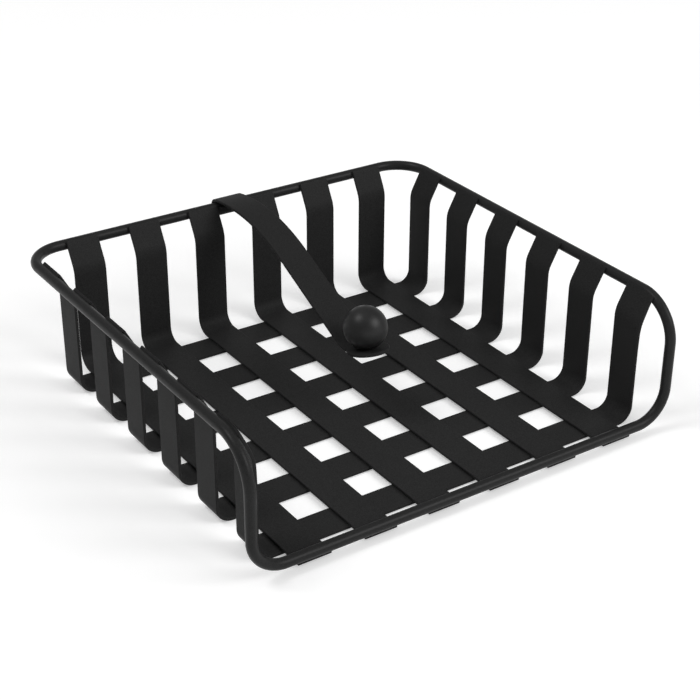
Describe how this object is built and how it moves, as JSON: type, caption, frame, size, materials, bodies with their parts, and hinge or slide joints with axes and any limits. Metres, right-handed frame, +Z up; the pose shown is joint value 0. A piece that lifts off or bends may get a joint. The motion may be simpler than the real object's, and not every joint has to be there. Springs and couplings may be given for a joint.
{
  "type": "napkin holder",
  "caption": "Low square napkin basket of flat straps hung from a bent wire rim, open at the front, with a swinging strap arm that holds the stack down under a ball.",
  "frame": {"origin": "middle of the holder's outline, seen from above, at the level that it stands on", "axes": "+Z up, +Y to the back rim that carries the arm, +X to the right seen from the open front"},
  "size_m": [0.2014, 0.191, 0.0615],
  "materials": {
    "black_coat": "satin black powder coat",
    "arm_coat": "satin black powder coat",
    "ball_coat": "satin black powder coat, smoother",
    "screw_coat": "blackened steel"
  },
  "bodies": {
    "basket": {"rim_wire": "black_coat", "cross_strap_1": "black_coat", "cross_strap_2": "black_coat", "cross_strap_3": "black_coat", "cross_strap_4": "black_coat", "cross_strap_5": "black_coat", "cross_strap_6": "black_coat", "long_strap_1": "black_coat", "long_strap_2": "black_coat", "long_strap_3": "black_coat", "long_strap_4": "black_coat", "long_strap_5": "black_coat", "long_strap_6": "black_coat"},
    "arm": {"hold_down_arm": "arm_coat", "ball_knob": "ball_coat", "ball_screw": "screw_coat"}
  },
  "joints": [
    {"name": "arm_swing", "type": "hinge", "parent": "basket", "child": "arm", "pos_m": [0, 0.09173, 0.0561], "axis": [-1, 0, 0], "range_deg": [-14.5, 211]}
  ]
}
